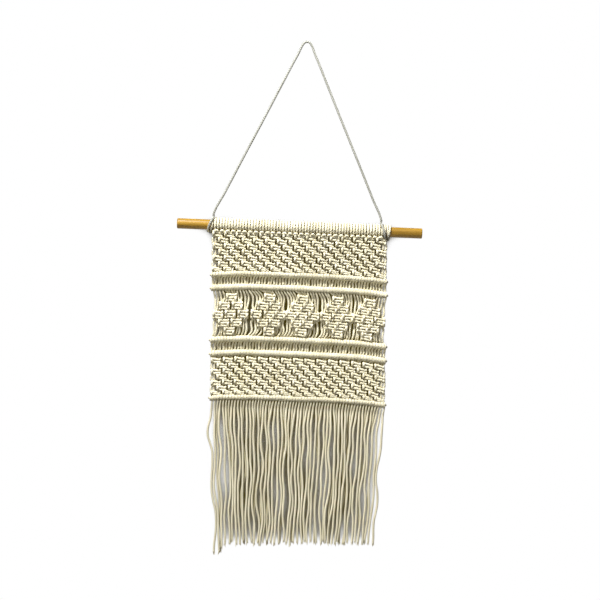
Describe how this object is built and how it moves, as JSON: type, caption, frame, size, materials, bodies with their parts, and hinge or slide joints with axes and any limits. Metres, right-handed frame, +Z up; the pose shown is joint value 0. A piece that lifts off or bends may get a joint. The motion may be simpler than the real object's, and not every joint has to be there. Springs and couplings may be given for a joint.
{
  "type": "knotted wall hanging",
  "caption": "Cotton cord wall hanging with knotted nets, a band of diamonds, raised ridges and a long fringe, tied to a round wooden dowel on a hanging cord.",
  "frame": {"origin": "top of the nail or hook that holds the hanging up, on the underside of the hanging cord's apex", "axes": "+X along the dowel to the viewer's right, +Z up, -Y towards the viewer, so the wall is on the +Y side"},
  "size_m": [0.3, 0.0194, 0.6186],
  "materials": {
    "cotton_cord": "natural undyed three-strand cotton cord, matt",
    "hanging_cord": "natural undyed three-strand cotton cord, matt",
    "holding_cord": "natural undyed cotton cord, matt, hidden in the ridges",
    "wood_dowel": "golden varnished hardwood, satin"
  },
  "bodies": {
    "hanger": {"hanging_cord": "hanging_cord", "hanging_knot_left": "hanging_cord", "hanging_knot_right": "hanging_cord"},
    "dowel": {"dowel": "wood_dowel"},
    "upper_panel": {"mount_knots_01": "cotton_cord", "mount_knots_02": "cotton_cord", "mount_knots_03": "cotton_cord", "mount_knots_04": "cotton_cord", "mount_knots_05": "cotton_cord", "mount_knots_06": "cotton_cord", "mount_knots_07": "cotton_cord", "mount_knots_08": "cotton_cord", "mount_knots_09": "cotton_cord", "mount_knots_10": "cotton_cord", "mount_knots_11": "cotton_cord", "mount_knots_12": "cotton_cord", "mount_knots_13": "cotton_cord", "mount_knots_14": "cotton_cord", "mount_knots_15": "cotton_cord", "knot_net_upper": "cotton_cord", "hitch_row_1": "cotton_cord", "holding_cord_1": "holding_cord", "strand_band_upper": "cotton_cord"},
    "middle_panel": {"hitch_row_2": "cotton_cord", "holding_cord_2": "holding_cord", "loose_strands_upper": "cotton_cord", "diamond_1": "cotton_cord", "diamond_2": "cotton_cord", "diamond_3": "cotton_cord", "diamond_4": "cotton_cord", "diamond_5": "cotton_cord", "loose_strands_lower": "cotton_cord", "hitch_row_3": "cotton_cord", "holding_cord_3": "holding_cord", "strand_band_lower": "cotton_cord"},
    "lower_panel": {"hitch_row_4": "cotton_cord", "holding_cord_4": "holding_cord", "knot_net_lower": "cotton_cord", "hitch_row_5": "cotton_cord", "holding_cord_5": "holding_cord"},
    "fringe_01": {"fringe_01": "cotton_cord"},
    "fringe_02": {"fringe_02": "cotton_cord"},
    "fringe_03": {"fringe_03": "cotton_cord"},
    "fringe_04": {"fringe_04": "cotton_cord"},
    "fringe_05": {"fringe_05": "cotton_cord"},
    "fringe_06": {"fringe_06": "cotton_cord"},
    "fringe_07": {"fringe_07": "cotton_cord"},
    "fringe_08": {"fringe_08": "cotton_cord"},
    "fringe_09": {"fringe_09": "cotton_cord"},
    "fringe_10": {"fringe_10": "cotton_cord"},
    "fringe_11": {"fringe_11": "cotton_cord"},
    "fringe_12": {"fringe_12": "cotton_cord"},
    "fringe_13": {"fringe_13": "cotton_cord"},
    "fringe_14": {"fringe_14": "cotton_cord"},
    "fringe_15": {"fringe_15": "cotton_cord"}
  },
  "joints": [
    {"name": "dowel_slide", "type": "slide", "parent": "hanger", "child": "dowel", "axis": [1, 0, 0], "range_m": [-0.03, 0.03]},
    {"name": "swing", "type": "hinge", "parent": "hanger", "child": "upper_panel", "pos_m": [0, 0, -0.229], "axis": [-1, 0, 0], "range_deg": [0, 90]},
    {"name": "fold_upper", "type": "hinge", "parent": "upper_panel", "child": "middle_panel", "pos_m": [0, 0, -0.2962], "axis": [1, 0, 0], "range_deg": [-100, 0], "deforming": ["strand_band_upper"]},
    {"name": "fold_lower", "type": "hinge", "parent": "middle_panel", "child": "lower_panel", "pos_m": [0, 0, -0.3763], "axis": [-1, 0, 0], "range_deg": [0, 100], "deforming": ["strand_band_lower"]},
    {"name": "fringe_01_swing", "type": "hinge", "parent": "lower_panel", "child": "fringe_01", "pos_m": [0, 0, -0.4464], "axis": [1, 0, 0], "range_deg": [-80, 0]},
    {"name": "fringe_02_swing", "type": "hinge", "parent": "lower_panel", "child": "fringe_02", "pos_m": [0, 0, -0.4464], "axis": [1, 0, 0], "range_deg": [-80, 0]},
    {"name": "fringe_03_swing", "type": "hinge", "parent": "lower_panel", "child": "fringe_03", "pos_m": [0, 0, -0.4464], "axis": [1, 0, 0], "range_deg": [-80, 0]},
    {"name": "fringe_04_swing", "type": "hinge", "parent": "lower_panel", "child": "fringe_04", "pos_m": [0, 0, -0.4464], "axis": [1, 0, 0], "range_deg": [-80, 0]},
    {"name": "fringe_05_swing", "type": "hinge", "parent": "lower_panel", "child": "fringe_05", "pos_m": [0, 0, -0.4464], "axis": [1, 0, 0], "range_deg": [-80, 0]},
    {"name": "fringe_06_swing", "type": "hinge", "parent": "lower_panel", "child": "fringe_06", "pos_m": [0, 0, -0.4464], "axis": [1, 0, 0], "range_deg": [-80, 0]},
    {"name": "fringe_07_swing", "type": "hinge", "parent": "lower_panel", "child": "fringe_07", "pos_m": [0, 0, -0.4464], "axis": [1, 0, 0], "range_deg": [-80, 0]},
    {"name": "fringe_08_swing", "type": "hinge", "parent": "lower_panel", "child": "fringe_08", "pos_m": [0, 0, -0.4464], "axis": [1, 0, 0], "range_deg": [-80, 0]},
    {"name": "fringe_09_swing", "type": "hinge", "parent": "lower_panel", "child": "fringe_09", "pos_m": [0, 0, -0.4464], "axis": [1, 0, 0], "range_deg": [-80, 0]},
    {"name": "fringe_10_swing", "type": "hinge", "parent": "lower_panel", "child": "fringe_10", "pos_m": [0, 0, -0.4464], "axis": [1, 0, 0], "range_deg": [-80, 0]},
    {"name": "fringe_11_swing", "type": "hinge", "parent": "lower_panel", "child": "fringe_11", "pos_m": [0, 0, -0.4464], "axis": [1, 0, 0], "range_deg": [-80, 0]},
    {"name": "fringe_12_swing", "type": "hinge", "parent": "lower_panel", "child": "fringe_12", "pos_m": [0, 0, -0.4464], "axis": [1, 0, 0], "range_deg": [-80, 0]},
    {"name": "fringe_13_swing", "type": "hinge", "parent": "lower_panel", "child": "fringe_13", "pos_m": [0, 0, -0.4464], "axis": [1, 0, 0], "range_deg": [-80, 0]},
    {"name": "fringe_14_swing", "type": "hinge", "parent": "lower_panel", "child": "fringe_14", "pos_m": [0, 0, -0.4464], "axis": [1, 0, 0], "range_deg": [-80, 0]},
    {"name": "fringe_15_swing", "type": "hinge", "parent": "lower_panel", "child": "fringe_15", "pos_m": [0, 0, -0.4464], "axis": [1, 0, 0], "range_deg": [-80, 0]}
  ]
}
